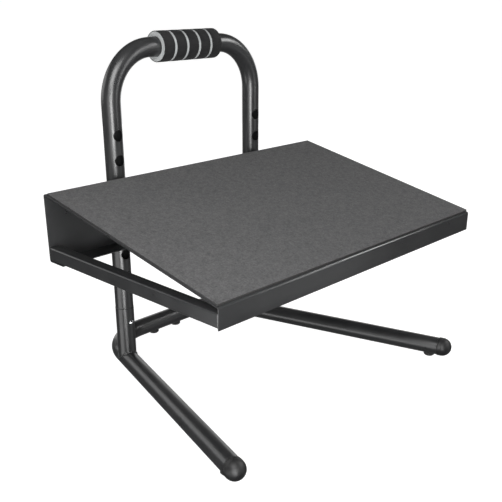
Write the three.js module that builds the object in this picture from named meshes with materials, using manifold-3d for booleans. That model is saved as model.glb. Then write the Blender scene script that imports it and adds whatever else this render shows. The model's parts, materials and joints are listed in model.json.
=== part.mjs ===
// Slant board: a height-adjustable foot platform with a carry handle, built as an assembly.
// Millimetres, +Z up, +X to the right, +Y to the back. The floor is z = 0.

import * as THREE from 'three';
import { mergeVertices } from 'three/addons/utils/BufferGeometryUtils.js';
import Module from 'manifold-3d';

const wasm = await Module();
wasm.setup();

// ---------------------------------------------------------------- driving dimensions

const GAP = 0.3; // clearance between pieces that touch on the real object

const POST_SPACING = 259; // centre to centre of the two uprights
const UPRIGHT_OD = 25.4;
const BASE_OD = 26;
const TUBE_WALL = 1.5;

const FOOT_HEIGHT = 3.5;
const LEG_SPLAY = THREE.MathUtils.degToRad(16.3);
const LEG_LENGTH = 321; // from the upright's axis to the end of the tube
const CROSSBAR_Y = 71;
const BASE_BEND_RADIUS = 78;
const LEG_FOOT_DISTANCE = 308;
const CROSSBAR_FOOT_X = 23;
const CAP_OD = 27.5;
const CAP_COLLAR = 6;
const CAP_PLUG = 22;

const POST_TOP_Z = 97.5;
const HANDLE_AXIS_Z = 446.3;
const HANDLE_BEND_RADIUS = 66.8;
const HOLE_DIAMETER = 14.8;
const HOLE_PITCH = 32.4;
const HOLE_COUNT = 7;
const PIN_Z = 242.9; // the middle hole, where the deck stands

const GRIP_OD = 40.3;
const GRIP_LENGTH = 103;
const GRIP_BANDS = 5;
const GRIP_RING = 3.6; // width of the light ring between two bands
const BAND_THICKNESS = 1.2;

const SPIGOT_OD = 21.4;
const SPIGOT_WALL = 1.2;
const SPIGOT_BOTTOM_Z = 45;
const SPIGOT_TOP_Z = 130;
const BUTTON_Z = 75.9;
const BUTTON_DIAMETER = 7.4;
const BUTTON_PROUD = 3.2;
const ARM_Y = -7.6; // front face of the spring arm that carries the button
const ARM_THICKNESS = 0.6;
const ARM_WIDTH = 6;
const ARM_TOP_Z = 82.9;
const ARM_BOTTOM_Z = 62;

const DECK_WIDTH = 491;
const DECK_CENTRE_X = -5; // measured from the middle of the uprights
const DECK_FRONT_Y = -322.5;
const DECK_REAR_Y = -16;
const DECK_FRONT_Z = 224;
const DECK_REAR_Z = 286.4;
const DECK_BOTTOM_Z = 198.5;
const DECK_RETURN = 29;
const SHEET = 1.5;
const SHEET_BEND = 3; // outside radius of each bend
const RAIL_WIDTH = 15.5;
const RAIL_HEIGHT = 17.2;
const RAIL_WALL = 1.2;
const MAT_THICKNESS = 2.6;
const MAT_INSET = 0.8; // at each side
const MAT_SETBACK = 2.7; // from the front fold, along the slope
const MAT_LENGTH = 303;

const BUSH_OD = 31.2;
const BUSH_BORE = 26.1;
const BUSH_HEIGHT = 56;
const STRAP_WALL = 2;
const STRAP_HEIGHT = 50;
const STRAP_FLANGE = 36; // half width over both flanges
const BOLT_X = 27;
const BOLT_Z = 16;
const BOLT_HOLE = 5.6;
const BOLT_DIAMETER = 5;
const BOLT_HEAD_DIAMETER = 9.6;
const BOLT_HEAD_HEIGHT = 2.8;
const BOLT_REACH = 8; // shank in front of the rear panel's inner face
const NUT_CORNERS = 9.2;
const NUT_HEIGHT = 4;
const PIN_DIAMETER = 13.6;
const PIN_STEM = 8;
const PIN_TIP_Y = -5;
const PIN_SHOULDER_Y = -27;
const BARREL_OD = 24;
const BARREL_END_Y = -46;
const BARREL_WALL_END = 3;
const STEM_REACH = 20; // stem in front of the barrel, inside the knob
const KNOB_OD = 30;
const KNOB_LENGTH = 22;

const BASE_AXIS_Z = FOOT_HEIGHT + BASE_OD / 2;
const PLATE_INNER_Y = DECK_REAR_Y - SHEET;

// The origin is under the middle of the whole object, so everything is laid out from
// the middle of the two uprights and then moved by these two amounts. The deck is the
// widest piece, so its middle is the object's.
const LEG_TIP_Y = -Math.cos(LEG_SPLAY) * (LEG_LENGTH + CAP_COLLAR) - CAP_OD / 2;
const FRONT_Y = Math.min(DECK_FRONT_Y, LEG_TIP_Y);
const REAR_Y = CROSSBAR_Y + BASE_OD / 2;
const CENTRE_X = DECK_CENTRE_X;
const CENTRE_Y = (FRONT_Y + REAR_Y) / 2;

// ---------------------------------------------------------------- materials

function finish(color, roughness, metalness) {
  return new THREE.MeshStandardMaterial({ color, roughness, metalness });
}

const POWDER_COAT = finish(0x3c3d3f, 0.45, 0.3);
const MAT_BLACK = finish(0x4a4b4c, 0.85, 0);
const FOAM_BLACK = finish(0x2c2d2e, 0.9, 0);
const FOAM_GREY = finish(0xb4b6b6, 0.9, 0);
const PLASTIC_BLACK = finish(0x1d1e1f, 0.5, 0);
const RUBBER = finish(0x202020, 0.9, 0);
const CHROME = finish(0xd8dadc, 0.15, 1);
const NYLON = finish(0x252627, 0.6, 0);
const ZINC = finish(0xa8abad, 0.35, 0.9);

// ---------------------------------------------------------------- solids

const SIDES = 24; // round tubes
const BORE_SIDES = 16; // the unseen insides of tubes
const HOLE_SIDES = 20; // holes for the lock pins
const SMALL_SIDES = 14; // bolts, pins and buttons

// A manifold solid from a closed three.js geometry.
function solid(geometry) {
  const bare = geometry.clone();
  bare.deleteAttribute('normal');
  bare.deleteAttribute('uv');
  const merged = mergeVertices(bare, 1e-4);
  return new wasm.Manifold(new wasm.Mesh({
    numProp: 3,
    vertProperties: new Float32Array(merged.attributes.position.array),
    triVerts: new Uint32Array(merged.index.array),
  }));
}

// A three.js geometry from a manifold solid.
function surface(body) {
  const mesh = body.getMesh();
  const geometry = new THREE.BufferGeometry();
  geometry.setAttribute('position', new THREE.BufferAttribute(mesh.vertProperties, 3));
  geometry.setIndex(new THREE.BufferAttribute(mesh.triVerts, 1));
  geometry.computeVertexNormals();
  return geometry;
}

function cut(geometry, ...tools) {
  let body = solid(geometry);
  for (const tool of tools) body = body.subtract(solid(tool));
  return surface(body);
}

function join(...geometries) {
  const [first, ...rest] = geometries.map(solid);
  return surface(rest.reduce((body, other) => body.add(other), first));
}

// A round bar between two heights or depths, along one axis.
function rod(axis, diameter, from, to, sides = SIDES) {
  const geometry = new THREE.CylinderGeometry(diameter / 2, diameter / 2, Math.abs(to - from), sides);
  const middle = (from + to) / 2;
  if (axis === 'y') geometry.translate(0, middle, 0);
  if (axis === 'z') geometry.rotateX(Math.PI / 2).translate(0, 0, middle);
  return geometry;
}

// A box from its lowest to its highest corner.
function block([x0, y0, z0], [x1, y1, z1]) {
  const geometry = new THREE.BoxGeometry(x1 - x0, y1 - y0, z1 - z0);
  return geometry.translate((x0 + x1) / 2, (y0 + y1) / 2, (z0 + z1) / 2);
}

// A turned piece: the profile holds [radius, height] pairs, and height runs along the axis.
function turned(axis, profile, sides = SMALL_SIDES) {
  const points = profile.map(([r, h]) => new THREE.Vector2(r, h));
  const geometry = new THREE.LatheGeometry(points, sides);
  if (axis === 'x') geometry.rotateZ(-Math.PI / 2);
  if (axis === 'z') geometry.rotateX(Math.PI / 2);
  return geometry;
}

// A ring shape: a circle with a concentric hole.
function ringShape(outer, inner) {
  const circle = (radius, sides) => {
    const points = [];
    for (let i = 0; i < sides; i += 1) {
      const angle = (2 * Math.PI * i) / sides;
      points.push(new THREE.Vector2(radius * Math.cos(angle), radius * Math.sin(angle)));
    }
    return points;
  };
  const shape = new THREE.Shape(circle(outer / 2, SIDES));
  shape.holes.push(new THREE.Path(circle(inner / 2, BORE_SIDES).reverse()));
  return shape;
}

// A tube swept along a path of straight runs and round bends.
function sweptTube(path, steps, outer, inner) {
  return new THREE.ExtrudeGeometry(ringShape(outer, inner), { steps, extrudePath: path });
}

// A curve path's points, spaced so that straight runs get one step and bends get many.
class BentPath extends THREE.Curve {
  constructor(points) {
    super();
    this.points = points;
  }

  getPoint(t) {
    const place = t * (this.points.length - 1);
    const index = Math.min(Math.floor(place), this.points.length - 2);
    return this.points[index].clone().lerp(this.points[index + 1], place - index);
  }

  getPointAt(t) {
    return this.getPoint(t);
  }

  getTangentAt(t) {
    const last = this.points.length - 1;
    const index = Math.round(t * last);
    const before = this.points[Math.max(index - 1, 0)];
    const after = this.points[Math.min(index + 1, last)];
    const incoming = this.points[index].clone().sub(before).normalize();
    const outgoing = after.clone().sub(this.points[index]).normalize();
    return incoming.add(outgoing).normalize();
  }

  getTangent(t) {
    return this.getTangentAt(t);
  }
}

// Points along a flat route: straight runs joined by bends of one radius at each corner.
function roundedRoute(corners, radius, bendSteps) {
  const points = [corners[0].clone()];
  for (let i = 1; i < corners.length - 1; i += 1) {
    const towards = corners[i].clone().sub(corners[i - 1]).normalize();
    const away = corners[i + 1].clone().sub(corners[i]).normalize();
    const turn = towards.angleTo(away);
    const setback = radius * Math.tan(turn / 2);
    const start = corners[i].clone().addScaledVector(towards, -setback);
    const inward = away.clone().addScaledVector(towards, -away.dot(towards)).normalize();
    const centre = start.clone().addScaledVector(inward, radius);
    for (let k = 0; k <= bendSteps; k += 1) {
      const angle = (turn * k) / bendSteps;
      const point = centre.clone().addScaledVector(inward, -radius * Math.cos(angle));
      points.push(point.addScaledVector(towards, radius * Math.sin(angle)));
    }
  }
  points.push(corners[corners.length - 1].clone());
  return points;
}

// ---------------------------------------------------------------- the assembly

const frame = new THREE.Group();
frame.position.set(-CENTRE_X, -CENTRE_Y, 0);

function add(name, geometry, material, x = 0, y = 0, z = 0) {
  const mesh = new THREE.Mesh(geometry, material);
  mesh.name = name;
  mesh.position.set(x, y, z);
  frame.add(mesh);
  return mesh;
}

const SIDE_NAMES = [['left', -1], ['right', 1]];

// ---------------------------------------------------------------- base tube, caps and feet

function legPoint(side, distance) {
  const x = side * (POST_SPACING / 2 + Math.sin(LEG_SPLAY) * distance);
  return new THREE.Vector3(x, -Math.cos(LEG_SPLAY) * distance, BASE_AXIS_Z);
}

function baseTube() {
  const back = -CROSSBAR_Y / Math.cos(LEG_SPLAY);
  const corners = [legPoint(-1, LEG_LENGTH), legPoint(-1, back), legPoint(1, back), legPoint(1, LEG_LENGTH)];
  const points = roundedRoute(corners, BASE_BEND_RADIUS, 10);
  return sweptTube(new BentPath(points), points.length - 1, BASE_OD, BASE_OD - 2 * TUBE_WALL);
}

// A domed plastic cap: a ribbed plug inside the tube, a thin collar and a round nose.
function legCap() {
  const radius = CAP_OD / 2;
  const plug = BASE_OD / 2 - TUBE_WALL - 2 * GAP;
  const profile = [[0, -CAP_PLUG], [plug - 1, -CAP_PLUG], [plug, -CAP_PLUG + 2], [plug, GAP]];
  profile.push([radius - 0.5, GAP], [radius, GAP + 0.6]);
  const steps = 6;
  for (let k = 0; k <= steps; k += 1) {
    const angle = (Math.PI / 2) * (k / steps);
    profile.push([radius * Math.cos(angle), CAP_COLLAR + radius * Math.sin(angle)]);
  }
  profile[profile.length - 1][0] = 0;
  return turned('y', profile, SIDES);
}

// A rubber foot: a low round pad whose top is hollowed to fit the tube above it.
function rubberFoot(tubeAngle) {
  const pad = turned('z', [[0, 0], [6, 0], [8, 1.4], [8, 7], [0, 7]], SIDES);
  const tube = rod('y', BASE_OD + 2 * GAP, -20, 20, 36);
  return cut(pad, tube.rotateZ(tubeAngle).translate(0, 0, BASE_AXIS_Z));
}

add('base_tube', baseTube(), POWDER_COAT);
for (const [name, side] of SIDE_NAMES) {
  const end = legPoint(side, LEG_LENGTH);
  const cap = add(`${name}_leg_cap`, legCap(), PLASTIC_BLACK, end.x, end.y, end.z);
  cap.rotation.z = Math.PI + side * LEG_SPLAY;
  const foot = legPoint(side, LEG_FOOT_DISTANCE);
  add(`${name}_leg_foot`, rubberFoot(side * LEG_SPLAY), RUBBER, foot.x, foot.y, 0);
  const barFoot = rubberFoot(Math.PI / 2);
  add(`${name}_crossbar_foot`, barFoot, RUBBER, side * CROSSBAR_FOOT_X, CROSSBAR_Y, 0);
}

// ---------------------------------------------------------------- lower posts and handle

// A straight stub whose foot is coped to sit on the leg below it.
function lowerPost(side) {
  const bottom = BASE_AXIS_Z;
  const outside = rod('z', BASE_OD, bottom, POST_TOP_Z);
  const bore = rod('z', BASE_OD - 2 * TUBE_WALL, bottom - 1, POST_TOP_Z + 1, SIDES);
  const leg = rod('y', BASE_OD + 2 * GAP, -60, 60, 36).rotateZ(side * LEG_SPLAY).translate(0, 0, BASE_AXIS_Z);
  const buttonHole = rod('y', BUTTON_DIAMETER + 0.8, -30, 0, SMALL_SIDES).translate(0, 0, BUTTON_Z);
  return cut(outside, bore, leg, buttonHole);
}

function handleTube() {
  const half = POST_SPACING / 2;
  const bottom = POST_TOP_Z + GAP;
  const at = (x, z) => new THREE.Vector3(x, 0, z);
  const corners = [at(-half, bottom), at(-half, HANDLE_AXIS_Z), at(half, HANDLE_AXIS_Z), at(half, bottom)];
  const points = roundedRoute(corners, HANDLE_BEND_RADIUS, 12);
  const path = new BentPath(points);
  const tube = sweptTube(path, points.length - 1, UPRIGHT_OD, UPRIGHT_OD - 2 * TUBE_WALL);
  const holes = [];
  for (let i = 0; i < HOLE_COUNT; i += 1) {
    const z = PIN_Z + (i - (HOLE_COUNT - 1) / 2) * HOLE_PITCH;
    for (const side of [-1, 1]) {
      holes.push(rod('y', HOLE_DIAMETER, -30, 0, HOLE_SIDES).translate(side * half, 0, z));
    }
  }
  return cut(tube, ...holes);
}

// The inner sleeve that joins the handle tube to the lower post.
function spigot() {
  const outside = rod('z', SPIGOT_OD, SPIGOT_BOTTOM_Z, SPIGOT_TOP_Z);
  const bore = rod('z', SPIGOT_OD - 2 * SPIGOT_WALL, SPIGOT_BOTTOM_Z - 1, SPIGOT_TOP_Z + 1);
  const hole = rod('y', BUTTON_DIAMETER + 0.8, -30, 0, SMALL_SIDES).translate(0, 0, BUTTON_Z);
  return cut(outside, bore, hole);
}

// A domed button on the front arm of its leaf spring.
function snapButton() {
  const radius = BUTTON_DIAMETER / 2;
  const nose = BASE_OD / 2 + BUTTON_PROUD;
  const profile = [[0, -ARM_Y - 0.1], [radius, -ARM_Y - 0.1]];
  const steps = 6;
  for (let k = 0; k <= steps; k += 1) {
    const angle = (Math.PI / 2) * (k / steps);
    profile.push([radius * Math.cos(angle), nose - BUTTON_PROUD + BUTTON_PROUD * Math.sin(angle)]);
  }
  profile[profile.length - 1][0] = 0;
  const dome = turned('y', profile).rotateZ(Math.PI).translate(0, 0, BUTTON_Z);
  const half = ARM_WIDTH / 2;
  const arm = block([-half, ARM_Y, ARM_BOTTOM_Z], [half, ARM_Y + ARM_THICKNESS, ARM_TOP_Z]);
  return join(dome, arm);
}

// The fixed half of the leaf spring: a round bend under the arm, and a rear leg.
function buttonSpring() {
  const centreZ = ARM_BOTTOM_Z - GAP;
  const outer = -ARM_Y;
  const inner = outer - ARM_THICKNESS;
  const shape = new THREE.Shape();
  shape.moveTo(-outer, centreZ);
  shape.absarc(0, centreZ, outer, Math.PI, 2 * Math.PI, false);
  shape.lineTo(outer, ARM_TOP_Z);
  shape.lineTo(inner, ARM_TOP_Z);
  shape.lineTo(inner, centreZ);
  shape.absarc(0, centreZ, inner, 2 * Math.PI, Math.PI, true);
  return alongX(shape, -ARM_WIDTH / 2, ARM_WIDTH / 2);
}

// A shape drawn in the Y-Z plane, extruded from one X to another.
function alongX(shape, from, to, curveSegments = 10) {
  const geometry = new THREE.ExtrudeGeometry(shape, { depth: to - from, bevelEnabled: false, curveSegments });
  const basis = new THREE.Matrix4().set(0, 0, 1, from, 1, 0, 0, 0, 0, 1, 0, 0, 0, 0, 0, 1);
  return geometry.applyMatrix4(basis);
}

add('handle_tube', handleTube(), POWDER_COAT);
for (const [name, side] of SIDE_NAMES) {
  const x = (side * POST_SPACING) / 2;
  add(`${name}_lower_post`, lowerPost(side), POWDER_COAT, x);
  add(`${name}_spigot`, spigot(), ZINC, x);
  add(`${name}_snap_button`, snapButton(), CHROME, x);
  add(`${name}_button_spring`, buttonSpring(), ZINC, x);
}

// ---------------------------------------------------------------- foam grip

function gripCore() {
  const outer = GRIP_OD / 2 - BAND_THICKNESS - GAP;
  const inner = UPRIGHT_OD / 2 + GAP;
  const half = GRIP_LENGTH / 2;
  return turned('x', [[inner, -half], [outer, -half], [outer, half], [inner, half], [inner, -half]], 36);
}

function gripBand(width) {
  const outer = GRIP_OD / 2;
  const inner = outer - BAND_THICKNESS;
  const half = width / 2;
  return turned('x', [[inner, -half], [outer, -half], [outer, half], [inner, half], [inner, -half]], 36);
}

const BAND_WIDTH = (GRIP_LENGTH - (GRIP_BANDS - 1) * GRIP_RING) / GRIP_BANDS;
add('grip_core', gripCore(), FOAM_GREY, 0, 0, HANDLE_AXIS_Z);
for (let i = 0; i < GRIP_BANDS; i += 1) {
  const x = (i - (GRIP_BANDS - 1) / 2) * (BAND_WIDTH + GRIP_RING);
  add(`grip_band_${i + 1}`, gripBand(BAND_WIDTH), FOAM_BLACK, x, 0, HANDLE_AXIS_Z);
}

// ---------------------------------------------------------------- deck

// The outline of a bent sheet in section: outer corner points, rounded, and the sheet's
// thickness laid on the right-hand side of the way they run.
function bentSheet(corners, thickness, bend) {
  const right = (a, b) => {
    const way = b.clone().sub(a).normalize();
    return new THREE.Vector2(way.y, -way.x);
  };
  const sides = corners.slice(1).map((corner, i) => right(corners[i], corner));
  const bends = sides.slice(1).map((after, i) => {
    const before = sides[i];
    const reach = bend / (1 + before.dot(after));
    const centre = corners[i + 1].clone().addScaledVector(before.clone().add(after), reach);
    return { centre, before, after };
  });
  const shape = new THREE.Shape();
  shape.moveTo(corners[0].x, corners[0].y);
  for (const { centre, before, after } of bends) {
    const from = before.clone().negate().angle();
    shape.absarc(centre.x, centre.y, bend, from, after.clone().negate().angle(), true);
  }
  const last = corners[corners.length - 1];
  const lastInner = last.clone().addScaledVector(sides[sides.length - 1], thickness);
  shape.lineTo(last.x, last.y);
  shape.lineTo(lastInner.x, lastInner.y);
  for (const { centre, before, after } of [...bends].reverse()) {
    const from = after.clone().negate().angle();
    shape.absarc(centre.x, centre.y, bend - thickness, from, before.clone().negate().angle(), false);
  }
  const firstInner = corners[0].clone().addScaledVector(sides[0], thickness);
  shape.lineTo(firstInner.x, firstInner.y);
  return shape;
}

const DECK_LEFT_X = DECK_CENTRE_X - DECK_WIDTH / 2;
const DECK_RIGHT_X = DECK_CENTRE_X + DECK_WIDTH / 2;

function deckPlate() {
  const corner = (y, z) => new THREE.Vector2(y, z);
  const outline = bentSheet([
    corner(DECK_FRONT_Y, DECK_BOTTOM_Z),
    corner(DECK_FRONT_Y, DECK_FRONT_Z),
    corner(DECK_REAR_Y, DECK_REAR_Z),
    corner(DECK_REAR_Y, DECK_BOTTOM_Z),
    corner(DECK_REAR_Y - DECK_RETURN, DECK_BOTTOM_Z),
  ], SHEET, SHEET_BEND);
  const plate = alongX(outline, DECK_LEFT_X, DECK_RIGHT_X, 6);
  const holes = [];
  for (const side of [-1, 1]) {
    const x = (side * POST_SPACING) / 2;
    holes.push(rod('y', HOLE_DIAMETER, -30, 0, HOLE_SIDES).translate(x, 0, PIN_Z));
    for (const across of [-BOLT_X, BOLT_X]) {
      for (const up of [-BOLT_Z, BOLT_Z]) {
        holes.push(rod('y', BOLT_HOLE, -30, 0, SMALL_SIDES).translate(x + across, 0, PIN_Z + up));
      }
    }
  }
  return cut(plate, ...holes);
}

const SLOPE = Math.atan2(DECK_REAR_Z - DECK_FRONT_Z, DECK_REAR_Y - DECK_FRONT_Y);

// The anti-slip mat, built flat and then tilted with the deck.
function deckMat() {
  const low = [DECK_LEFT_X + MAT_INSET, MAT_SETBACK, GAP];
  const high = [DECK_RIGHT_X - MAT_INSET, MAT_SETBACK + MAT_LENGTH, GAP + MAT_THICKNESS];
  return block(low, high).rotateX(SLOPE).translate(0, DECK_FRONT_Y, DECK_FRONT_Z);
}

function sideRail() {
  const width = RAIL_WIDTH;
  const bottom = DECK_BOTTOM_Z + SHEET + GAP;
  const shape = new THREE.Shape();
  const corner = 1.5;
  shape.moveTo(corner, 0).lineTo(width - corner, 0).lineTo(width, corner);
  shape.lineTo(width, RAIL_HEIGHT - corner).lineTo(width - corner, RAIL_HEIGHT);
  shape.lineTo(corner, RAIL_HEIGHT).lineTo(0, RAIL_HEIGHT - corner).lineTo(0, corner);
  const bore = new THREE.Path();
  const far = width - RAIL_WALL;
  bore.moveTo(RAIL_WALL, RAIL_WALL).lineTo(RAIL_WALL, RAIL_HEIGHT - RAIL_WALL);
  bore.lineTo(far, RAIL_HEIGHT - RAIL_WALL).lineTo(far, RAIL_WALL);
  shape.holes.push(bore);
  const front = DECK_FRONT_Y + SHEET + GAP;
  const depth = DECK_REAR_Y - SHEET_BEND - GAP - front;
  const rail = new THREE.ExtrudeGeometry(shape, { depth, bevelEnabled: false });
  return rail.rotateX(Math.PI / 2).translate(0, front + depth, bottom);
}

add('deck_plate', deckPlate(), POWDER_COAT);
add('deck_mat', deckMat(), MAT_BLACK);
add('left_side_rail', sideRail(), POWDER_COAT, DECK_LEFT_X);
add('right_side_rail', sideRail(), POWDER_COAT, DECK_RIGHT_X - RAIL_WIDTH);

// ---------------------------------------------------------------- guides on the uprights

// A nylon sleeve round the upright, with a hole for the lock pin.
function postBush() {
  const half = BUSH_HEIGHT / 2;
  const outside = rod('z', BUSH_OD, -half, half);
  const bore = rod('z', BUSH_BORE, -half - 1, half + 1);
  const hole = rod('y', HOLE_DIAMETER, -30, 0, HOLE_SIDES);
  return cut(outside, bore, hole);
}

// A steel saddle that wraps the bush and lies flat on the rear panel.
function postStrap() {
  const inner = BUSH_OD / 2 + GAP;
  const outer = inner + STRAP_WALL;
  const seat = DECK_REAR_Y + GAP;
  const flange = seat + STRAP_WALL;
  const shape = new THREE.Shape();
  shape.moveTo(-STRAP_FLANGE, seat).lineTo(-inner, seat).lineTo(-inner, 0);
  shape.absarc(0, 0, inner, Math.PI, 0, true);
  shape.lineTo(inner, seat).lineTo(STRAP_FLANGE, seat).lineTo(STRAP_FLANGE, flange);
  shape.lineTo(outer, flange).lineTo(outer, 0);
  shape.absarc(0, 0, outer, 0, Math.PI, false);
  shape.lineTo(-outer, flange).lineTo(-STRAP_FLANGE, flange);
  const options = { depth: STRAP_HEIGHT, bevelEnabled: false, curveSegments: 20 };
  const strap = new THREE.ExtrudeGeometry(shape, options);
  strap.translate(0, 0, -STRAP_HEIGHT / 2);
  const holes = [];
  for (const across of [-BOLT_X, BOLT_X]) {
    for (const up of [-BOLT_Z, BOLT_Z]) {
      holes.push(rod('y', BOLT_HOLE, -30, 0, SMALL_SIDES).translate(across, 0, up));
    }
  }
  return cut(strap, ...holes);
}

// A button-head bolt, its head behind the strap's flange and its shank pointing forward.
function strapBolt() {
  const seat = DECK_REAR_Y + GAP + STRAP_WALL + GAP;
  const tip = PLATE_INNER_Y - BOLT_REACH;
  const shank = BOLT_DIAMETER / 2;
  const head = BOLT_HEAD_DIAMETER / 2;
  const top = seat + BOLT_HEAD_HEIGHT;
  const profile = [[0, tip], [shank - 0.5, tip], [shank, tip + 0.5], [shank, seat], [head, seat]];
  profile.push([head - 0.2, top - 1.6], [head - 1.4, top - 0.4], [head - 3.2, top], [0, top]);
  return turned('y', profile, 12);
}

function strapNut() {
  const seat = PLATE_INNER_Y - GAP;
  const nut = rod('y', NUT_CORNERS, seat - NUT_HEIGHT, seat, 6);
  return cut(nut, rod('y', BOLT_HOLE, -60, 0, SMALL_SIDES));
}

for (const [name, side] of SIDE_NAMES) {
  const x = (side * POST_SPACING) / 2;
  add(`${name}_post_bush`, postBush(), NYLON, x, 0, PIN_Z);
  add(`${name}_post_strap`, postStrap(), POWDER_COAT, x, 0, PIN_Z);
  let count = 0;
  for (const up of [BOLT_Z, -BOLT_Z]) {
    for (const across of [-BOLT_X, BOLT_X]) {
      count += 1;
      add(`${name}_strap_bolt_${count}`, strapBolt(), ZINC, x + across, 0, PIN_Z + up);
      add(`${name}_strap_nut_${count}`, strapNut(), ZINC, x + across, 0, PIN_Z + up);
    }
  }
}

// ---------------------------------------------------------------- spring lock pins

function plungerBarrel() {
  const front = BARREL_END_Y;
  const seat = PLATE_INNER_Y - GAP;
  const bore = HOLE_DIAMETER / 2;
  const outer = BARREL_OD / 2;
  const chamber = front + BARREL_WALL_END;
  const stem = PIN_STEM / 2 + 0.4;
  return turned('y', [[stem, front], [outer - 1, front], [outer, front + 1], [outer, seat],
    [bore, seat], [bore, chamber], [stem, chamber], [stem, front]], SIDES);
}

function lockPin() {
  const nose = PIN_DIAMETER / 2;
  const stem = PIN_STEM / 2;
  const end = BARREL_END_Y - STEM_REACH;
  return turned('y', [[0, end], [stem, end], [stem, PIN_SHOULDER_Y], [nose, PIN_SHOULDER_Y],
    [nose, PIN_TIP_Y - 1.5], [nose - 1.5, PIN_TIP_Y], [0, PIN_TIP_Y]], SIDES);
}

// The coil spring round the pin's stem, between its shoulder and the barrel's end wall.
function pinSpring() {
  const wire = 1.2;
  const radius = PIN_STEM / 2 + GAP + wire / 2 + 0.6;
  const start = BARREL_END_Y + BARREL_WALL_END + wire / 2 + GAP;
  const length = PIN_SHOULDER_Y - GAP - wire / 2 - start;
  const turns = 4;
  const stepsPerTurn = 10;
  const points = [];
  for (let i = 0; i <= turns * stepsPerTurn; i += 1) {
    const angle = (2 * Math.PI * i) / stepsPerTurn;
    const y = start + (length * i) / (turns * stepsPerTurn);
    points.push(new THREE.Vector3(radius * Math.cos(angle), y, radius * Math.sin(angle)));
  }
  const section = [];
  for (let k = 0; k < 6; k += 1) {
    const angle = (k * Math.PI) / 3;
    section.push(new THREE.Vector2((wire / 2) * Math.cos(angle), (wire / 2) * Math.sin(angle)));
  }
  const path = new BentPath(points);
  return new THREE.ExtrudeGeometry(new THREE.Shape(section), { steps: points.length - 1, extrudePath: path });
}

function pullKnob() {
  const back = BARREL_END_Y - GAP;
  const bore = PIN_STEM / 2 + GAP;
  const radius = KNOB_OD / 2;
  const front = back - KNOB_LENGTH;
  const socket = BARREL_END_Y - STEM_REACH - GAP;
  return turned('y', [[0, front], [radius - 5, front + 0.6], [radius - 1, front + 3], [radius, front + 6],
    [radius - 1.5, front + 9], [7.5, front + 12], [7, back - 2], [8, back], [bore, back],
    [bore, socket], [0, socket]], SIDES);
}

for (const [name, side] of SIDE_NAMES) {
  const x = (side * POST_SPACING) / 2;
  add(`${name}_plunger_barrel`, plungerBarrel(), ZINC, x, 0, PIN_Z);
  add(`${name}_lock_pin`, lockPin(), CHROME, x, 0, PIN_Z);
  add(`${name}_pin_spring`, pinSpring(), ZINC, x, 0, PIN_Z);
  add(`${name}_pull_knob`, pullKnob(), PLASTIC_BLACK, x, 0, PIN_Z);
}

const slantBoard = new THREE.Group();
slantBoard.add(frame);

export default slantBoard;
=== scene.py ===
# %% [markdown]
# # Slant board
# A slant board is a sloping platform to stand on, used to stretch the calves.
# This one slides on two steel uprights, and spring pins hold it at one of seven heights.
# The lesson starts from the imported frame, so every size below is read from it or named here.

# %% Load the frame
import json
import math

import bmesh
import bpy
from mathutils import Matrix, Vector


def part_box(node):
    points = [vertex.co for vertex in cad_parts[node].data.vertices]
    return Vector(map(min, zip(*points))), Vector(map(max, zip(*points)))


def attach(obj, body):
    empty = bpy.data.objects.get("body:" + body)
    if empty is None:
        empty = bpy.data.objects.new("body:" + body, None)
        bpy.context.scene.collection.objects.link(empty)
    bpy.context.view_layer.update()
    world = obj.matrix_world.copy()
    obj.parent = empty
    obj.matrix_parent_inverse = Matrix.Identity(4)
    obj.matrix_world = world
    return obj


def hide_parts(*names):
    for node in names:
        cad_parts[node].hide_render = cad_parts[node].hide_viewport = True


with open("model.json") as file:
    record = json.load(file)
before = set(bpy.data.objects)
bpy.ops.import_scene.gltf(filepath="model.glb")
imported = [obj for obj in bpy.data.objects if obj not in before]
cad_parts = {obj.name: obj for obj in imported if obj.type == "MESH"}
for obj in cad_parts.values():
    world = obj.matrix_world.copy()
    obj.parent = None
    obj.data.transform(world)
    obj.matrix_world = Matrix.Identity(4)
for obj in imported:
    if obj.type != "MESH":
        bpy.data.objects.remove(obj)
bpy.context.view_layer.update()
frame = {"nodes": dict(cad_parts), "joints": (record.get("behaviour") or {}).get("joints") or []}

MM = 0.001

# %% [markdown]
# ## Sizes
# The boxes of the frame's nodes give the places of the tubes, the pins and the deck.
# A few sizes that a box can't tell, such as a bend's radius, are named in millimetres.

# %% Measure the uprights and the base
def span(node):
    low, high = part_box(node)
    return high - low


def middle(node):
    low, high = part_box(node)
    return (low + high) / 2


SIDES = {"left": -1, "right": 1}
STAND_X = (middle("left_lower_post").x + middle("right_lower_post").x) / 2
POST_REACH = middle("right_lower_post").x - STAND_X
POST_Y = middle("right_lower_post").y
BASE_RADIUS = span("right_lower_post").x / 2
BASE_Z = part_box("base_tube")[0].z + BASE_RADIUS
JOINT_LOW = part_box("right_lower_post")[1].z
JOINT_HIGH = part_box("handle_tube")[0].z
UPRIGHT_RADIUS = span("handle_tube").y / 2
HANDLE_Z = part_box("handle_tube")[1].z - UPRIGHT_RADIUS
TUBE_WALL = 1.5 * MM
HANDLE_BEND = 66.8 * MM
BASE_BEND = 78 * MM
CROSSBAR_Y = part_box("base_tube")[1].y - BASE_RADIUS

LEG_WAY = middle("right_leg_foot") - middle("right_lower_post")
LEG_WAY.z = 0
LEG_WAY.normalize()
LEG_LENGTH = (POST_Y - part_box("base_tube")[0].y - BASE_RADIUS * LEG_WAY.x) / -LEG_WAY.y


def post_x(sign):
    return STAND_X + sign * POST_REACH


def on_upright(sign, height=0):
    return Matrix.Translation((post_x(sign), POST_Y, height))


print("uprights at x", post_x(-1), post_x(1), "y", POST_Y, "legs", LEG_LENGTH, "long")

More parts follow.
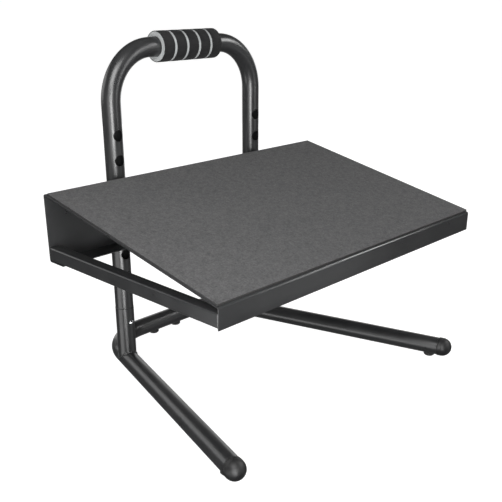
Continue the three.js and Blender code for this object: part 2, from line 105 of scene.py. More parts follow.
# %% Measure the holes and the deck
PIN_Z = middle("right_lock_pin").z
deck_joint = next(joint for joint in frame["joints"] if joint["name"] == "deck_height")
HOLE_COUNT = 7
HOLE_PITCH = (deck_joint["range_m"][1] - deck_joint["range_m"][0]) / (HOLE_COUNT - 1)
HOLE_DIAMETER = 14.8 * MM
DRILL_DEPTH = 30 * MM


def front_of_post(sign, height, across=0):
    """The middle of a drill's run through the front wall of an upright."""
    return (post_x(sign) + across, POST_Y - DRILL_DEPTH / 2, height)


MAT_THICKNESS = 2.6 * MM
MAT_CLEARANCE = 0.3 * MM
mat_span = span("deck_mat")
slope = math.atan2(mat_span.z, mat_span.y)
SLOPE_ROUNDS = 20
for _ in range(SLOPE_ROUNDS):
    rise = mat_span.z - MAT_THICKNESS * math.cos(slope)
    run = mat_span.y - MAT_THICKNESS * math.sin(slope)
    slope = math.atan2(rise, run)
MAT_LENGTH = math.hypot(rise, run)
MAT_CENTRE = middle("deck_mat")
DECK_LOW, DECK_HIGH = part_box("deck_plate")
print("hole pitch", HOLE_PITCH, "slope in degrees", math.degrees(slope), "mat", MAT_LENGTH)

# %% [markdown]
# ## Mesh helpers
# Most pieces are one section turned round an axis or carried along a line.
# A rounded corner catches a thin line of light, and a real edge always has one.
# So one helper rounds the corners of an outline, and it adds a point just outside each arc.
# That point keeps the bend's smooth shading from spreading over the flat sheet beside it.

# %% Round the corners of an outline
def rounded(corners, closed=False, steps=6, support=0.0):
    """(u, v, radius) corners as a list of points, each corner an arc of its radius."""
    points = []
    last = len(corners) - 1
    for index, (u, v, radius) in enumerate(corners):
        here = Vector((u, v))
        if radius <= 0 or (not closed and index in (0, last)):
            points.append(here)
            continue
        before = (Vector(corners[index - 1][:2]) - here).normalized()
        after = (Vector(corners[(index + 1) % (last + 1)][:2]) - here).normalized()
        half = before.angle(after) / 2
        centre = here + (before + after).normalized() * radius / math.sin(half)
        start = here + before * radius / math.tan(half) - centre
        end = here + after * radius / math.tan(half) - centre
        first = math.atan2(start.y, start.x)
        turn = (math.atan2(end.y, end.x) - first + math.pi) % (2 * math.pi) - math.pi
        if support:
            points.append(centre + start + before * support)
        for step in range(steps + 1):
            angle = first + turn * step / steps
            points.append(centre + radius * Vector((math.cos(angle), math.sin(angle))))
        if support:
            points.append(centre + end + after * support)
    return points


print("rounded square:", len(rounded([(0, 0, 1), (9, 0, 1), (9, 9, 1), (0, 9, 1)], True)), "points")

# %% Turn a profile round an axis
ALONG_X = Matrix.Rotation(math.radians(90), 4, "Y")
ALONG_Y = Matrix.Rotation(math.radians(-90), 4, "X")


def mesh_of(name, shape, place=Matrix.Identity(4)):
    """A mesh from a bmesh, in its place, with its faces pointing outwards."""
    bmesh.ops.recalc_face_normals(shape, faces=shape.faces)
    shape.transform(place)
    mesh = bpy.data.meshes.new(name)
    shape.to_mesh(mesh)
    shape.free()
    return mesh


def turned(name, profile, sides=64, place=Matrix.Identity(4)):
    """(radius, height) points turned round Z. A profile off the axis closes into a ring."""
    shape = bmesh.new()
    rings = []
    for radius, height in profile:
        count = sides if radius > 1e-7 else 1
        angles = [2 * math.pi * step / sides for step in range(count)]
        rings.append([shape.verts.new((radius * math.cos(a), radius * math.sin(a), height)) for a in angles])
    pairs = list(zip(rings, rings[1:]))
    if len(rings[0]) > 1:
        pairs.append((rings[-1], rings[0]))
    for lower, upper in pairs:
        for step in range(sides):
            near, far = step, (step + 1) % sides
            corners = [lower[near % len(lower)], lower[far % len(lower)]]
            corners += [upper[far % len(upper)], upper[near % len(upper)]]
            corners = list(dict.fromkeys(corners))
            if len(corners) > 2:
                shape.faces.new(corners)
    return mesh_of(name, shape, place)


print("turning needs", len(turned("trial", [(0, 0), (1, 0), (0, 1)]).vertices), "points for a small cone")

# %% Loft a section through loops
def lofted(name, loops, closed, place=Matrix.Identity(4)):
    """Loops of points joined one after another: closed like a ring, or with flat ends."""
    shape = bmesh.new()
    rows = [[shape.verts.new(point) for point in loop] for loop in loops]
    pairs = list(zip(rows, rows[1:]))
    if closed:
        pairs.append((rows[-1], rows[0]))
    else:
        shape.faces.new(rows[0])
        shape.faces.new(rows[-1])
    for lower, upper in pairs:
        for step in range(len(lower)):
            far = (step + 1) % len(lower)
            shape.faces.new([lower[step], lower[far], upper[far], upper[step]])
    return mesh_of(name, shape, place)


def sheet_outline(corners, thickness, steps, support):
    """The section of a bent sheet whose middle line runs through the rounded corners."""
    line = rounded(corners, steps=steps, support=support)
    left, right = [], []
    for index, point in enumerate(line):
        before = line[max(index - 1, 0)]
        after = line[min(index + 1, len(line) - 1)]
        way = (after - before).normalized()
        across = Vector((-way.y, way.x)) * thickness / 2
        left.append(point + across)
        right.append(point - across)
    return left + right[::-1]


print("helpers ready")

# %% [markdown]
# ## Putting a piece in the scene
# Each finished piece is a plain mesh at the origin, and it rides on a body of the frame.
# Modifiers and node trees are worked out first, and then the result is kept as the mesh.

# %% Keep, finish and place pieces
SHARP = math.radians(32)


def show(name, mesh):
    piece = bpy.data.objects.new(name, mesh)
    bpy.context.scene.collection.objects.link(piece)
    return piece


def turned_piece(name, profile, sides, place):
    return show(name, turned(name, profile, sides, place))


def lofted_piece(name, loops, closed, place=Matrix.Identity(4)):
    return show(name, lofted(name, loops, closed, place))


def keep(piece):
    """Replaces the piece's mesh with what its modifiers make of it, and takes them off."""
    graph = bpy.context.evaluated_depsgraph_get()
    mesh = bpy.data.meshes.new_from_object(piece.evaluated_get(graph))
    piece.modifiers.clear()
    piece.data = mesh
    return piece


def place_piece(piece, material, body, slot, *nodes):
    piece.data.shade_smooth()
    piece.data.set_sharp_from_angle(angle=SHARP)
    piece.data.materials.clear()
    piece.data.materials.append(material)
    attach(piece, body)
    if nodes:
        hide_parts(*nodes)
    print(piece.name, len(piece.data.polygons), "faces on", body)
    return piece


def cut_with(piece, cutter, operation="DIFFERENCE"):
    boolean = piece.modifiers.new("cut", "BOOLEAN")
    boolean.operation = operation
    boolean.solver = "EXACT"
    boolean.object = cutter
    keep(piece)
    bpy.data.objects.remove(cutter)
    return piece


def soften(piece, width, segments=2, angle=50):
    """A small rounded bevel along every edge that is sharper than the angle."""
    bevel = piece.modifiers.new("soften", "BEVEL")
    bevel.width = width
    bevel.segments = segments
    bevel.limit_method = "ANGLE"
    bevel.angle_limit = math.radians(angle)
    bevel.harden_normals = False
    return keep(piece)


print("sharp edges start at", round(math.degrees(SHARP)), "degrees")

# %% [markdown]
# ## Node trees for shapes
# Five small trees do the work that repeats or follows a line.
# One carries a round tube along a line, one drills holes at points, one sets out copies at
# points, one lays a weld bead, and one winds a spring. Each has named inputs for its sizes.

# %% Start and run a shape tree
def shape_tree(name, inputs):
    tree = bpy.data.node_groups.new(name, "GeometryNodeTree")
    tree.interface.new_socket("Geometry", in_out="INPUT", socket_type="NodeSocketGeometry")
    for label, kind in inputs:
        tree.interface.new_socket(label, in_out="INPUT", socket_type="NodeSocket" + kind)
    tree.interface.new_socket("Geometry", in_out="OUTPUT", socket_type="NodeSocketGeometry")
    return tree, tree.nodes.new("NodeGroupInput").outputs, tree.nodes.new("NodeGroupOutput").inputs


def step_in(tree, kind, settings=None, **links):
    """One node: its settings, and the socket or the value that each named input gets."""
    node = tree.nodes.new(kind)
    for key, value in (settings or {}).items():
        setattr(node, key, value)
    for label, source in links.items():
        socket = node.inputs[label.replace("_", " ")]
        if isinstance(source, bpy.types.NodeSocket):
            tree.links.new(source, socket)
        else:
            socket.default_value = source
    return node


def end_tree(tree, result, material, output):
    """Every tree ends the same way: real geometry, then its material."""
    real = step_in(tree, "GeometryNodeRealizeInstances", Geometry=result)
    coat = step_in(tree, "GeometryNodeSetMaterial", Geometry=real.outputs[0], Material=material)
    tree.links.new(coat.outputs[0], output["Geometry"])


def run_tree(piece, tree, **values):
    modifier = piece.modifiers.new(tree.name, "NODES")
    modifier.node_group = tree
    for item in tree.interface.items_tree:
        wanted = item.name.replace(" ", "_")
        if item.in_out == "INPUT" and wanted in values:
            modifier[item.identifier] = values[wanted]
    return keep(piece)


def points_object(name, points, joined=False, ring=False):
    """A mesh of loose points, or of points joined into a line or a ring."""
    edges = [(i, i + 1) for i in range(len(points) - 1)] if joined else []
    if ring:
        edges.append((len(points) - 1, 0))
    mesh = bpy.data.meshes.new(name)
    mesh.from_pydata([tuple(point) for point in points], edges, [])
    return show(name, mesh)


print("tree helpers ready")

# %% [markdown]
# ## Finishes
# The frame is steel under a charcoal powder coat: powder is sprayed on dry and baked, so the
# skin is satin, with a very fine orange peel. The other finishes are a matte rubber mat,
# closed-cell foam, moulded plastic, rubber, nylon, chrome and zinc plating.
# Effects that several finishes share are node groups: grain, pores, and the faint film of
# dust and handling that any used object carries. Each material places them with its own values.

# %% Build the shared effect groups
def effect_group(name, inputs, outputs):
    tree = bpy.data.node_groups.new(name, "ShaderNodeTree")
    tree.interface.new_socket("Vector", in_out="INPUT", socket_type="NodeSocketVector")
    for label, value in inputs:
        socket = tree.interface.new_socket(label, in_out="INPUT", socket_type="NodeSocketFloat")
        socket.default_value = value
    for label in outputs:
        tree.interface.new_socket(label, in_out="OUTPUT", socket_type="NodeSocketFloat")
    return tree, tree.nodes.new("NodeGroupInput").outputs, tree.nodes.new("NodeGroupOutput").inputs


def noise(tree, vector, scale, detail=2.0, roughness=0.5):
    return step_in(tree, "ShaderNodeTexNoise", Vector=vector, Scale=scale, Detail=detail, Roughness=roughness)


def stretch(tree, value, low, high):
    """The value from low to high spread over 0 to 1, and cut off outside."""
    node = tree.nodes.new("ShaderNodeMapRange")
    tree.links.new(value, node.inputs["Value"])
    node.inputs["From Min"].default_value = low
    node.inputs["From Max"].default_value = high
    return node.outputs["Result"]


def mathematics(tree, operation, first, second):
    node = tree.nodes.new("ShaderNodeMath")
    node.operation = operation
    for socket, source in zip(node.inputs, (first, second)):
        if isinstance(source, bpy.types.NodeSocket):
            tree.links.new(source, socket)
        else:
            socket.default_value = source
    return node.outputs[0]


def grain_group():
    """Grain: fine bumps, and a slower change of shade."""
    scales = [("Fine Scale", 2500), ("Cloud Scale", 60)]
    tree, given, made = effect_group("grain", scales, ["Height", "Shade"])
    fine = noise(tree, given["Vector"], given["Fine Scale"], 3.0, 0.6)
    cloud = noise(tree, given["Vector"], given["Cloud Scale"], 4.0, 0.55)
    tree.links.new(stretch(tree, fine.outputs["Fac"], 0.3, 0.7), made["Height"])
    tree.links.new(stretch(tree, cloud.outputs["Fac"], 0.3, 0.7), made["Shade"])
    return tree


def pores_group():
    """Pores: small round pits scattered over a surface."""
    tree, given, made = effect_group("pores", [("Pore Scale", 1500), ("Pit Size", 0.45)], ["Height", "Pit"])
    cells = step_in(tree, "ShaderNodeTexVoronoi", Vector=given["Vector"], Scale=given["Pore Scale"])
    depth = mathematics(tree, "DIVIDE", cells.outputs["Distance"], given["Pit Size"])
    depth = mathematics(tree, "MINIMUM", depth, 1.0)
    tree.links.new(depth, made["Height"])
    tree.links.new(mathematics(tree, "SUBTRACT", 1.0, depth), made["Pit"])
    return tree


def film_group():
    """Film: a thin, patchy layer of dust that settles on faces that look up."""
    tree, given, made = effect_group("film", [("Patch Scale", 18), ("Amount", 0.5)], ["Mask"])
    patches = noise(tree, given["Vector"], given["Patch Scale"], 5.0, 0.6)
    patches = stretch(tree, patches.outputs["Fac"], 0.4, 0.72)
    facing = tree.nodes.new("ShaderNodeNewGeometry")
    split = step_in(tree, "ShaderNodeSeparateXYZ", Vector=facing.outputs["Normal"])
    upward = stretch(tree, split.outputs["Z"], -0.2, 1.0)
    mask = mathematics(tree, "MULTIPLY", patches, upward)
    tree.links.new(mathematics(tree, "MULTIPLY", mask, given["Amount"]), made["Mask"])
    return tree


GRAIN = grain_group()
PORES = pores_group()
FILM = film_group()
print("effect groups:", GRAIN.name, PORES.name, FILM.name)

# %% Mix a finish from the groups
def effect(tree, group, vector, **values):
    node = tree.nodes.new("ShaderNodeGroup")
    node.node_tree = group
    tree.links.new(vector, node.inputs["Vector"])
    for label, value in values.items():
        node.inputs[label.replace("_", " ")].default_value = value
    return node.outputs


def blend_colours(tree, factor, first, second):
    node = tree.nodes.new("ShaderNodeMix")
    node.data_type = "RGBA"
    tree.links.new(factor, node.inputs["Factor"])
    for name, source in (("A", first), ("B", second)):
        socket = next(s for s in node.inputs if s.name == name and s.type == "RGBA")
        if isinstance(source, bpy.types.NodeSocket):
            tree.links.new(source, socket)
        else:
            socket.default_value = (*source, 1.0)
    return next(s for s in node.outputs if s.type == "RGBA")


def between(tree, factor, low, high):
    """A number that goes from low to high with the factor."""
    node = tree.nodes.new("ShaderNodeMapRange")
    tree.links.new(factor, node.inputs["Value"])
    node.inputs["To Min"].default_value = low
    node.inputs["To Max"].default_value = high
    return node.outputs["Result"]


def new_finish(name, **constants):
    """A material with its shader and Object coordinates; constants go on the shader's sockets."""
    material = bpy.data.materials.new(name)
    material.use_nodes = True
    tree = material.node_tree
    shader = tree.nodes["Principled BSDF"]
    for label, value in constants.items():
        shader.inputs[label.replace("_", " ")].default_value = value
    place = tree.nodes.new("ShaderNodeTexCoord").outputs["Object"]
    return material, tree, shader, place


def raise_surface(tree, shader, height, depth):
    bump = step_in(tree, "ShaderNodeBump", Height=height, Strength=1.0, Distance=depth)
    tree.links.new(bump.outputs[0], shader.inputs["Normal"])


DUST = (0.30, 0.29, 0.28)


def add_film(tree, shader, place, colour, roughness, scale, amount):
    """Dust over a colour and a roughness, both of which it changes a little."""
    mask = effect(tree, FILM, place, Patch_Scale=scale, Amount=amount)["Mask"]
    tree.links.new(blend_colours(tree, mask, colour, DUST), shader.inputs["Base Color"])
    rougher = mathematics(tree, "MULTIPLY_ADD", mask, 0.5)
    tree.links.new(roughness, rougher.node.inputs[2])
    tree.links.new(rougher, shader.inputs["Roughness"])


print("finish helpers ready")

# %% [markdown]
# ### Powder coat
# The coat is charcoal, satin and very slightly uneven. Fine grain bumps break the highlight
# up, and a slow change of shade keeps a long tube from looking like one flat colour.

# %% Powder coat
def powder_coat():
    material, tree, shader, place = new_finish("powder_coat", Specular_IOR_Level=0.75)
    grain = effect(tree, GRAIN, place, Fine_Scale=1900, Cloud_Scale=35)
    colour = blend_colours(tree, grain["Shade"], (0.0125, 0.0128, 0.0134), (0.0160, 0.0163, 0.0169))
    roughness = between(tree, grain["Shade"], 0.27, 0.33)
    add_film(tree, shader, place, colour, roughness, 22, 0.02)
    raise_surface(tree, shader, grain["Height"], 0.012 * MM)
    return material


POWDER = powder_coat()
print("made", POWDER.name)

# %% [markdown]
# ### Mat, rubber and foam
# The mat is a thin matte sheet with a fine, dry grain that grips a shoe. Its sides are painted
# darker than its top, a painted shade for sides the light hardly reaches, and the face's own normal tells the
# two apart.
# The foam of the grip is full of tiny cells, so it gets pits, and the pits are painted darker as painted
# shade in the cells. The feet are moulded rubber.

# %% Mat
def mat_finish():
    material, tree, shader, place = new_finish("mat", Specular_IOR_Level=0.3)
    grain = effect(tree, GRAIN, place, Fine_Scale=480, Cloud_Scale=160)
    pits = effect(tree, PORES, place, Pore_Scale=900, Pit_Size=0.5)
    flecks = mathematics(tree, "MULTIPLY_ADD", grain["Height"], 0.7)
    tree.links.new(mathematics(tree, "MULTIPLY", grain["Shade"], 0.3), flecks.node.inputs[2])
    colour = blend_colours(tree, flecks, (0.036, 0.036, 0.037), (0.118, 0.117, 0.118))
    # painted shade: faces that don't look up, the mat's sides, are blended to a near-black colour
    facing = tree.nodes.new("ShaderNodeNewGeometry")
    split = step_in(tree, "ShaderNodeSeparateXYZ", Vector=facing.outputs["Normal"])
    top = stretch(tree, split.outputs["Z"], 0.5, 0.95)
    colour = blend_colours(tree, top, (0.016, 0.016, 0.016), colour)
    add_film(tree, shader, place, colour, between(tree, grain["Height"], 0.72, 0.88), 14, 0.02)
    height = mathematics(tree, "MULTIPLY_ADD", pits["Height"], 0.4)
    tree.links.new(grain["Height"], height.node.inputs[2])
    raise_surface(tree, shader, height, 0.05 * MM)
    return material


MAT = mat_finish()
print("made", MAT.name)

# %% Foam and rubber
def foam(name, dark, light, pit_shade_colour):
    material, tree, shader, place = new_finish(name, Specular_IOR_Level=0.2, Sheen_Weight=0.03)
    shader.inputs["Sheen Roughness"].default_value = 0.5
    grain = effect(tree, GRAIN, place, Fine_Scale=1500, Cloud_Scale=90)
    pits = effect(tree, PORES, place, Pore_Scale=1200, Pit_Size=0.42)
    colour = blend_colours(tree, grain["Shade"], dark, light)
    # painted shade: the pits are blended towards a darker colour, standing in for the shade in the foam's
    # cells
    colour = blend_colours(tree, mathematics(tree, "MULTIPLY", pits["Pit"], 0.55), colour, pit_shade_colour)
    add_film(tree, shader, place, colour, between(tree, grain["Height"], 0.78, 0.95), 40, 0.04)
    height = mathematics(tree, "MULTIPLY_ADD", grain["Height"], 0.35)
    tree.links.new(pits["Height"], height.node.inputs[2])
    raise_surface(tree, shader, height, 0.10 * MM)
    return material


def rubber():
    material, tree, shader, place = new_finish("rubber", Specular_IOR_Level=0.35)
    grain = effect(tree, GRAIN, place, Fine_Scale=1800, Cloud_Scale=70)
    colour = blend_colours(tree, grain["Shade"], (0.012, 0.012, 0.012), (0.022, 0.022, 0.022))
    add_film(tree, shader, place, colour, between(tree, grain["Height"], 0.62, 0.8), 60, 0.05)
    raise_surface(tree, shader, grain["Height"], 0.03 * MM)
    return material


FOAM_BLACK = foam("foam_black", (0.006, 0.006, 0.0064), (0.010, 0.010, 0.0104), (0.003, 0.003, 0.003))
FOAM_GREY = foam("foam_grey", (0.23, 0.24, 0.24), (0.31, 0.32, 0.32), (0.17, 0.18, 0.18))
RUBBER = rubber()
print("made", FOAM_BLACK.name, FOAM_GREY.name, RUBBER.name)

# %% [markdown]
# ### Plastics and metals
# Caps, knobs and bushes are moulded: a mould leaves a very fine even grain. The button and the
# pins are chromed, and fasteners and springs are zinc plated, a duller metal with soft clouds.

# %% Plastics
def moulded(name, dark, light, rough, depth):
    material, tree, shader, place = new_finish(name, Specular_IOR_Level=0.35)
    grain = effect(tree, GRAIN, place, Fine_Scale=2600, Cloud_Scale=80)
    colour = blend_colours(tree, grain["Shade"], dark, light)
    add_film(tree, shader, place, colour, between(tree, grain["Shade"], rough, rough + 0.08), 50, 0.04)
    raise_surface(tree, shader, grain["Height"], depth)
    return material


PLASTIC = moulded("plastic", (0.006, 0.006, 0.0064), (0.010, 0.010, 0.0104), 0.42, 0.010 * MM)
NYLON = moulded("nylon", (0.013, 0.013, 0.014), (0.022, 0.022, 0.023), 0.48, 0.020 * MM)
print("made", PLASTIC.name, NYLON.name)

# %% Metals
def plated(name, dark, light, rough, spread, depth):
    material, tree, shader, place = new_finish(name, Metallic=1.0)
    grain = effect(tree, GRAIN, place, Fine_Scale=1400, Cloud_Scale=140)
    colour = blend_colours(tree, grain["Shade"], dark, light)
    add_film(tree, shader, place, colour, between(tree, grain["Shade"], rough, rough + spread), 90, 0.05)
    raise_surface(tree, shader, grain["Height"], depth)
    return material


CHROME = plated("chrome", (0.70, 0.71, 0.72), (0.82, 0.83, 0.84), 0.09, 0.08, 0.002 * MM)
ZINC = plated("zinc", (0.44, 0.45, 0.46), (0.60, 0.61, 0.62), 0.28, 0.16, 0.010 * MM)
print("made", CHROME.name, ZINC.name)

# %% [markdown]
# ## The shape trees
# The tube tree sweeps a circle along a line, then extrudes that skin inwards for the wall.
# The drill tree puts a cylinder at each point and cuts them all away at once.

# %% Tube along a line
def tube_tree(material):
    sizes = [("Radius", "Float"), ("Wall", "Float"), ("Sides", "Int")]
    tree, given, made = shape_tree("tube_along_line", sizes)
    line = step_in(tree, "GeometryNodeMeshToCurve", Mesh=given["Geometry"])
    circle = step_in(tree, "GeometryNodeCurvePrimitiveCircle", Resolution=given["Sides"],
                     Radius=given["Radius"])
    skin = step_in(tree, "GeometryNodeCurveToMesh", Curve=line.outputs[0], Profile_Curve=circle.outputs[0])
    inward = step_in(tree, "ShaderNodeMath", {"operation": "MULTIPLY"})
    tree.links.new(given["Wall"], inward.inputs[0])
    inward.inputs[1].default_value = -1
    wall = step_in(tree, "GeometryNodeExtrudeMesh", Mesh=skin.outputs[0], Offset_Scale=inward.outputs[0])
    wall.inputs["Individual"].default_value = False
    bore = step_in(tree, "GeometryNodeFlipFaces", Mesh=wall.outputs[0])
    both = tree.nodes.new("GeometryNodeJoinGeometry")
    tree.links.new(skin.outputs[0], both.inputs[0])
    tree.links.new(bore.outputs[0], both.inputs[0])
    whole = step_in(tree, "GeometryNodeMergeByDistance", Geometry=both.outputs[0], Distance=1e-6)
    end_tree(tree, whole.outputs[0], material, made)
    return tree


TUBE = tube_tree(POWDER)
print("made", TUBE.name)

# %% Drill holes at points
DRILL_SIDES = 48


def drill_tree():
    sizes = [("Points", "Object"), ("Diameter", "Float"), ("Depth", "Float"), ("Material", "Material")]
    tree, given, made = shape_tree("drill_at_points", sizes)
    spots = step_in(tree, "GeometryNodeObjectInfo", Object=given["Points"])
    half = step_in(tree, "ShaderNodeMath", {"operation": "MULTIPLY"})
    tree.links.new(given["Diameter"], half.inputs[0])
    half.inputs[1].default_value = 0.5
    bit = step_in(tree, "GeometryNodeMeshCylinder", Vertices=DRILL_SIDES, Radius=half.outputs[0],
                  Depth=given["Depth"])
    laid = step_in(tree, "GeometryNodeTransform", Geometry=bit.outputs["Mesh"],
                   Rotation=(math.radians(90), 0, 0))
    bits = step_in(tree, "GeometryNodeInstanceOnPoints", Points=spots.outputs["Geometry"],
                   Instance=laid.outputs[0])
    real = step_in(tree, "GeometryNodeRealizeInstances", Geometry=bits.outputs[0])
    cut = step_in(tree, "GeometryNodeMeshBoolean", {"operation": "DIFFERENCE", "solver": "EXACT"})
    tree.links.new(given["Geometry"], cut.inputs["Mesh 1"])
    tree.links.new(real.outputs[0], cut.inputs["Mesh 2"])
    end_tree(tree, cut.outputs[0], given["Material"], made)
    return tree


DRILL = drill_tree()


def drill(piece, points, diameter, depth, material):
    """Drills along Y; each point is the middle of the drill's run."""
    marks = points_object("drill_marks", points)
    run_tree(piece, DRILL, Points=marks, Diameter=diameter, Depth=depth, Material=material)
    bpy.data.objects.remove(marks)
    return piece


print("made", DRILL.name)

# %% Set out copies at points
def copies_tree():
    tree, given, made = shape_tree("copies_at_points", [("Copy", "Object"), ("Material", "Material")])
    model = step_in(tree, "GeometryNodeObjectInfo", Object=given["Copy"])
    copies = step_in(tree, "GeometryNodeInstanceOnPoints", Points=given["Geometry"],
                     Instance=model.outputs["Geometry"])
    end_tree(tree, copies.outputs[0], given["Material"], made)
    return tree


COPIES = copies_tree()


def set_out(name, model, points, material):
    """Copies of a model, which is made round the origin and then removed."""
    piece = points_object(name, points)
    run_tree(piece, COPIES, Copy=model, Material=material)
    bpy.data.objects.remove(model)
    return piece


print("made", COPIES.name)

# %% [markdown]
# ## Base tube
# The base is one steel tube bent into a U: a crossbar at the back and two legs that splay
# forward. A bending machine gives every bend the same radius, so the line is straight runs
# and arcs, and the tube tree follows it.

# %% Bend the base
def line_through(corners, radius, steps, spacing):
    """A flat line with rounded corners, and a point every so often on its straight runs."""
    bends = rounded([(*corner, radius) for corner in corners], steps=steps)
    points = [bends[0]]
    for point in bends[1:]:
        gap = point - points[-1]
        count = max(1, round(gap.length / spacing))
        start = points[-1]
        points += [start + gap * step / count for step in range(1, count + 1)]
    return points


def base_line():
    leg = Vector((LEG_WAY.x, LEG_WAY.y))
    post = Vector((POST_REACH, POST_Y))
    front = post + leg * LEG_LENGTH
    rear = post + leg * ((CROSSBAR_Y - POST_Y) / leg.y)
    half = [(rear.x, rear.y), (front.x, front.y)]
    corners = [(STAND_X - x, y) for x, y in half[::-1]] + [(STAND_X + x, y) for x, y in half]
    flat = line_through(corners, BASE_BEND, 24, 20 * MM)
    return [(point.x, point.y, BASE_Z) for point in flat]


base = points_object("base_tube_coat", base_line(), joined=True)
run_tree(base, TUBE, Radius=BASE_RADIUS, Wall=TUBE_WALL, Sides=64)
place_piece(base, POWDER, "stand", "powder_coat", "base_tube")

# %% [markdown]
# ## Leg caps and feet
# Each leg ends in a round plastic cap: a plug inside the tube, a thin collar and a domed nose.
# Short rubber feet, hollowed to fit the tube, carry the stand. Both are turned shapes.

# %% Turn the leg caps
CAP_RADIUS = 13.75 * MM
CAP_COLLAR = 6 * MM
CAP_PLUG = 22 * MM
CAP_CLEARANCE = 0.3 * MM


def cap_profile():
    plug = BASE_RADIUS - TUBE_WALL - CAP_CLEARANCE
    lip = 0.25 * MM
    corners = [(0, -CAP_PLUG, 0), (plug, -CAP_PLUG, 1 * MM), (plug, lip, 0.2 * MM)]
    corners += [(CAP_RADIUS, lip, 0.6 * MM), (CAP_RADIUS, CAP_COLLAR, 0)]
    points = rounded(corners, steps=4)
    # a fine moulding line where the collar meets the dome
    groove = 0.25 * MM
    points[-1] = Vector((CAP_RADIUS, CAP_COLLAR - 2 * groove))
    points.append(Vector((CAP_RADIUS - 0.6 * groove, CAP_COLLAR - groove)))
    steps = 20
    for step in range(steps + 1):
        angle = math.pi / 2 * step / steps
        points.append(Vector((CAP_RADIUS * math.cos(angle), CAP_COLLAR + CAP_RADIUS * math.sin(angle))))
    points[-1].x = 0
    return points


for side, sign in SIDES.items():
    way = Vector((sign * LEG_WAY.x, LEG_WAY.y, 0))
    end = Vector((post_x(sign), POST_Y, BASE_Z)) + way * LEG_LENGTH
    place = Matrix.Translation(end) @ way.to_track_quat("Z", "Y").to_matrix().to_4x4()
    cap = turned_piece(side + "_cap", cap_profile(), 72, place)
    place_piece(cap, PLASTIC, "stand", "plastic", side + "_leg_cap")

# %% Mould the feet
FOOT_RADIUS = 8 * MM
FOOT_TOP = 6.5 * MM
FOOT_CHAMFER = 1.4 * MM
FOOT_CLEARANCE = 0.15 * MM


def rubber_foot(name, at, tube_way):
    """A pad with a soft lower edge, hollowed by the tube that sits on it."""
    corners = [(0, 0, 0), (FOOT_RADIUS - FOOT_CHAMFER, 0, 0.8 * MM), (FOOT_RADIUS, 1.6 * MM, 0.8 * MM)]
    corners += [(FOOT_RADIUS, FOOT_TOP, 0.3 * MM), (0, FOOT_TOP, 0)]
    pad = turned_piece(name, rounded(corners, steps=4), 56, Matrix.Translation((at.x, at.y, 0)))
    reach = 20 * MM
    hollow = BASE_RADIUS + FOOT_CLEARANCE
    tube = [(0, -reach), (hollow, -reach), (hollow, reach), (0, reach)]
    turn = tube_way.to_track_quat("Z", "Y").to_matrix().to_4x4()
    place = Matrix.Translation((at.x, at.y, BASE_Z)) @ turn
    return cut_with(pad, turned_piece("tube_above", tube, 96, place))


for side, sign in SIDES.items():
    way = Vector((sign * LEG_WAY.x, LEG_WAY.y, 0))
    foot = rubber_foot(side + "_foot", middle(side + "_leg_foot"), way)
    place_piece(foot, RUBBER, "stand", "rubber", side + "_leg_foot")
    pad = rubber_foot(side + "_bar_foot", middle(side + "_crossbar_foot"), Vector((1, 0, 0)))
    place_piece(pad, RUBBER, "stand", "rubber", side + "_crossbar_foot")

# %% [markdown]
# ## Lower posts
# A short post stands on each leg. Its lower end is coped, cut to the curve of the leg, and
# welded all round. The cope follows from the two tubes' radii, so each column of the post's
# mesh starts at the height where the two cylinders meet.

# %% Cope the posts
POST_COLUMNS = 72
POST_ROWS = 36


def cope_height(x, y, sign):
    """The height of the leg's surface under a point near the post, in plan."""
    way = Vector((sign * LEG_WAY.x, LEG_WAY.y))
    across = abs(way.x * y - way.y * x)
    return BASE_Z + math.sqrt(max(BASE_RADIUS ** 2 - across ** 2, 0))


def lower_post(name, sign):
    columns = []
    rim = 0.3 * MM
    inner = BASE_RADIUS - TUBE_WALL
    for column in range(POST_COLUMNS):
        angle = 2 * math.pi * column / POST_COLUMNS
        across, along = math.cos(angle), math.sin(angle)
        loop = []
        for radius, order in ((BASE_RADIUS, 1), (inner, -1)):
            low = cope_height(radius * across, radius * along, sign)
            top = JOINT_LOW - rim
            heights = [low + (top - low) * row / POST_ROWS for row in range(POST_ROWS + 1)]
            wall = [(radius, height) for height in heights]
            wall.append((radius - order * rim, JOINT_LOW))
            loop += wall[::order]
        loop = [(post_x(sign) + r * across, POST_Y + r * along, z) for r, z in loop]
        columns.append(loop)
    return lofted_piece(name, columns, closed=True)


BUTTON_RADIUS = span("right_snap_button").x / 2
BUTTON_HOLE = 2 * BUTTON_RADIUS + 0.6 * MM
ARM_ABOVE_BUTTON = 7 * MM
BUTTON_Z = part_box("right_snap_button")[1].z - ARM_ABOVE_BUTTON

for side, sign in SIDES.items():
    post = lower_post(side + "_post", sign)
    drill(post, [front_of_post(sign, BUTTON_Z)], BUTTON_HOLE, DRILL_DEPTH, POWDER)
    place_piece(post, POWDER, "stand", "powder_coat", side + "_lower_post")

# %% [markdown]
# The weld is a bead that runs round the post's foot. A welder lays it in small overlapping
# puddles, which leave ripples. The bead tree swells a tube's radius in waves along the cope.

# %% Lay the weld beads
BEAD_RADIUS = 1.3 * MM
BEAD_LIFT = 0.2 * MM
BEAD_RIPPLES = 34.0
BEAD_POINTS = 240
RIPPLE_DEPTH = 0.14


